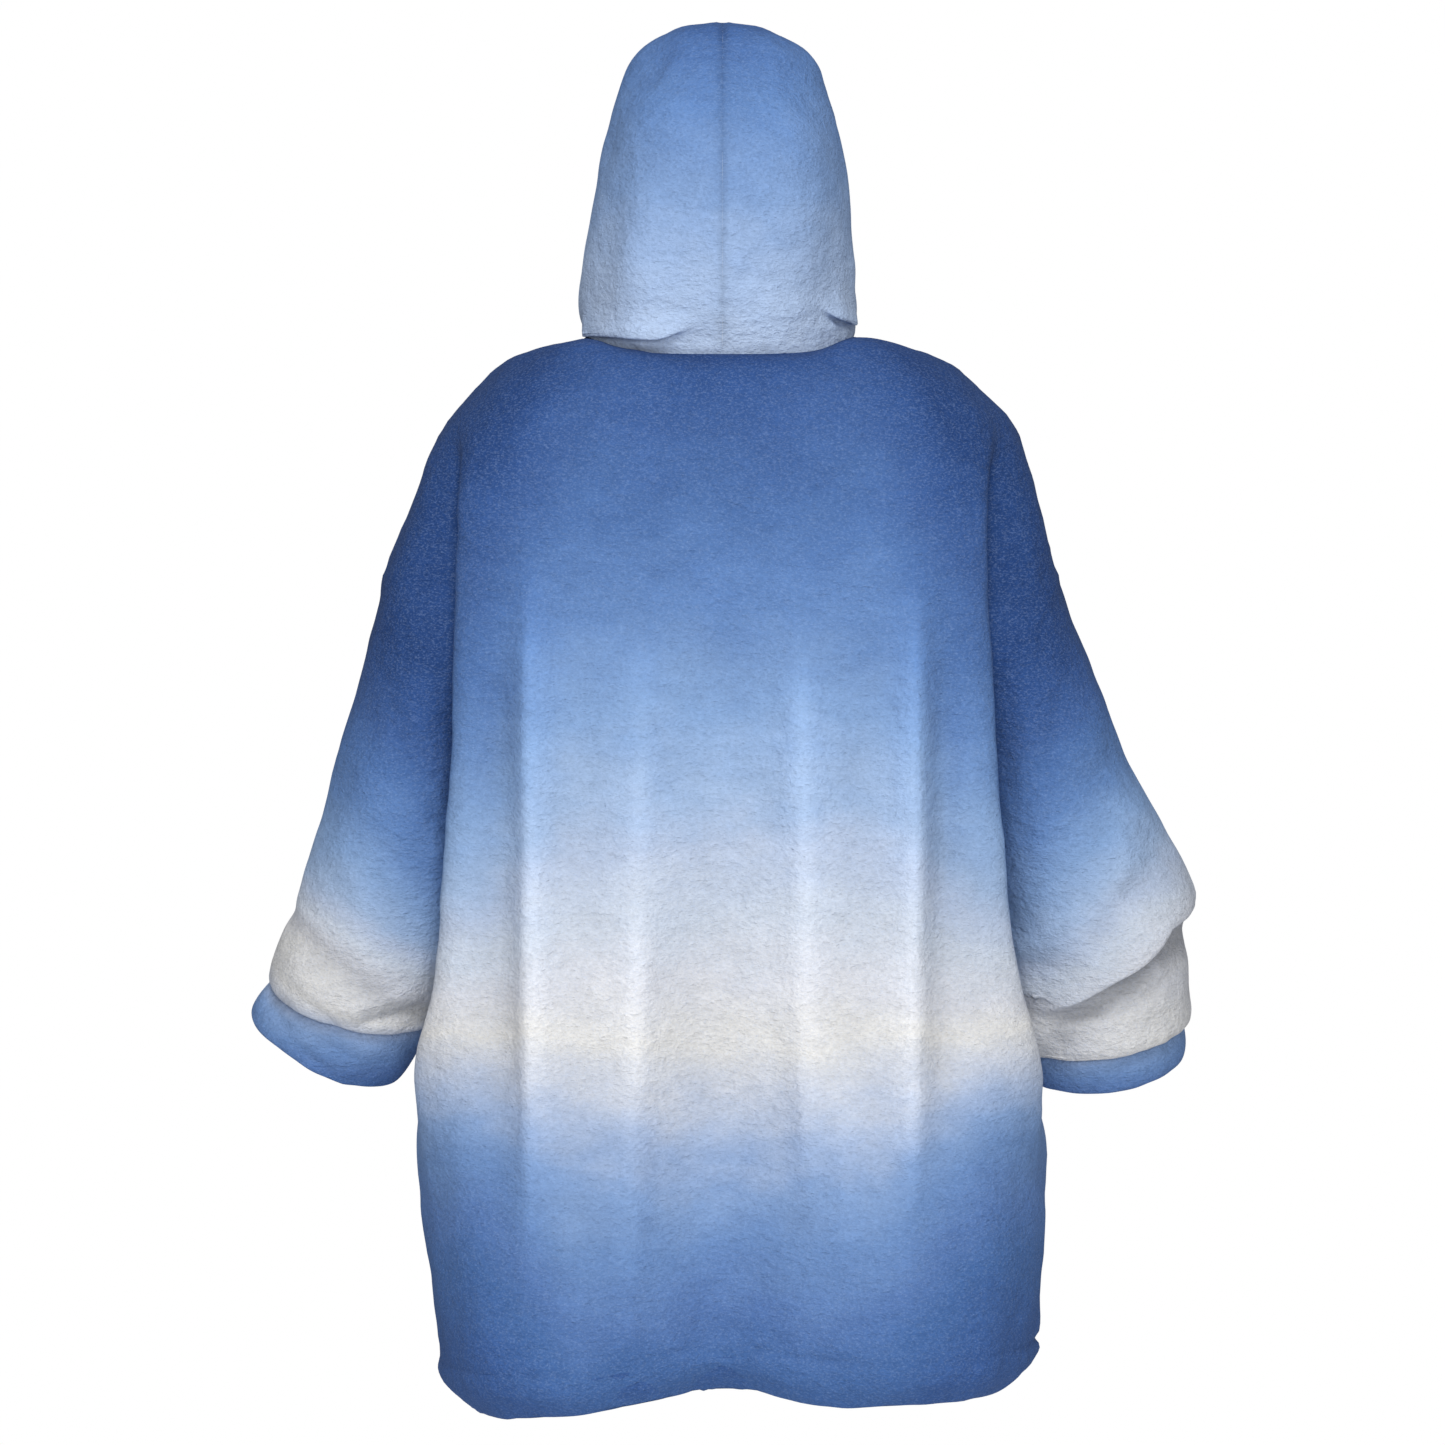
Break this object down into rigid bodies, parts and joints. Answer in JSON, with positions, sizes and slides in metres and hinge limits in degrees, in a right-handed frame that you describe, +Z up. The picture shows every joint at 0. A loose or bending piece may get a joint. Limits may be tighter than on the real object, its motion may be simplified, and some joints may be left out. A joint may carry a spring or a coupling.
{
  "type": "hoodie",
  "caption": "Oversized plush hoodie with raised hood and dropped shoulders, hollow and in worn form, open at neck, face, cuffs and hem.",
  "frame": {"origin": "centre of the neck opening at the height of the shoulders, where the wearer's shoulders hold the garment", "axes": "+Z up along the wearer's body, +Y towards the wearer's back, so -Y is the front; +X is the wearer's left"},
  "size_m": [0.8267, 0.385, 1.1981],
  "materials": {
    "fleece": "plush dip-dyed fleece, matt with a soft sheen",
    "cuff_fleece": "plush fleece, matt with a soft sheen"
  },
  "bodies": {
    "root": {"back_panel": "fleece", "front_panel": "fleece", "sleeve_left": "fleece", "sleeve_right": "fleece", "hood_left": "fleece", "hood_right": "fleece", "cuff_left": "cuff_fleece", "cuff_right": "cuff_fleece", "hem_band": "cuff_fleece"}
  },
  "joints": []
}
